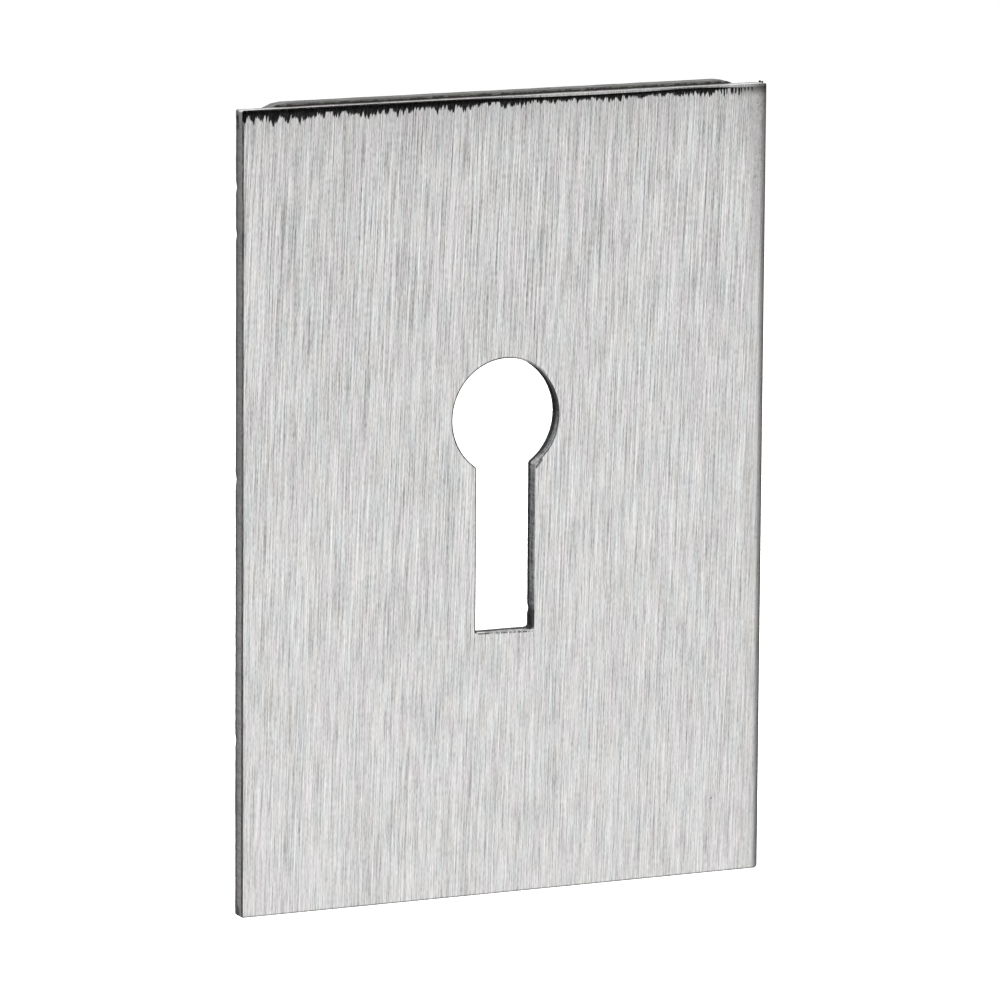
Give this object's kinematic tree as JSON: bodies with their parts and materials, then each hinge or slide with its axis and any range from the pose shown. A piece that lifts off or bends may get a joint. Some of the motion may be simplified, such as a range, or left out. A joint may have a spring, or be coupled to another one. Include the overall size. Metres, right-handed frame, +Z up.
{
  "type": "keyhole escutcheon",
  "caption": "Self-adhesive keyhole escutcheon: upright rectangular brushed stainless plate with a punched keyhole, on a grey foam adhesive pad with rounded corners.",
  "frame": {"origin": "centre of the keyhole's round part, on the plate's back face", "axes": "-Y out of the front face, +Z up along the keyhole's slot, +X right as seen from the front"},
  "size_m": [0.04, 0.0023, 0.0562],
  "materials": {
    "plate": "stainless steel with a fine upright brushed grain, and rougher, darker sheared side walls",
    "pad": "matt grey closed-cell foam with an adhesive film on both faces"
  },
  "bodies": {
    "root": {"escutcheon_plate": "plate", "adhesive_pad": "pad"}
  },
  "joints": []
}
